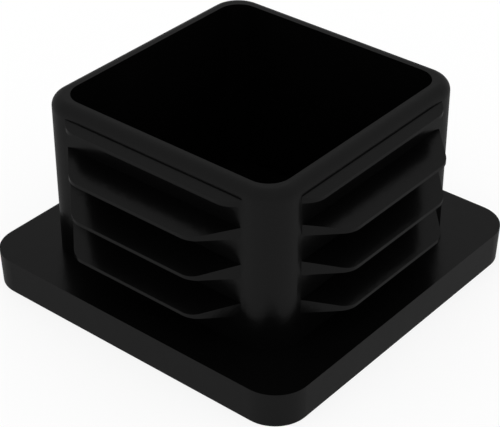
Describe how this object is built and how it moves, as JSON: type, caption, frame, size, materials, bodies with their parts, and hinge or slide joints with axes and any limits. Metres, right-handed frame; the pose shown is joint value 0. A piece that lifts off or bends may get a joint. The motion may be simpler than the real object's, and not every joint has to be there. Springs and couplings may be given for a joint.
{
  "type": "tube end cap",
  "caption": "Moulded plastic end cap that closes a square tube: a flat flange with rounded corners and a hollow square shank with barbed ribs that grip the tube's bore.",
  "frame": {"origin": "centre of the flange's flat outer face, on which the cap stands", "axes": "+Z along the shank, from the flange's outer face towards the open rim; +X and +Y square to the shank's walls"},
  "size_m": [0.05, 0.05, 0.0273],
  "materials": {
    "black_plastic": "smooth injection-moulded black plastic with a soft gloss"
  },
  "bodies": {
    "root": {"end_cap": "black_plastic"}
  },
  "joints": []
}
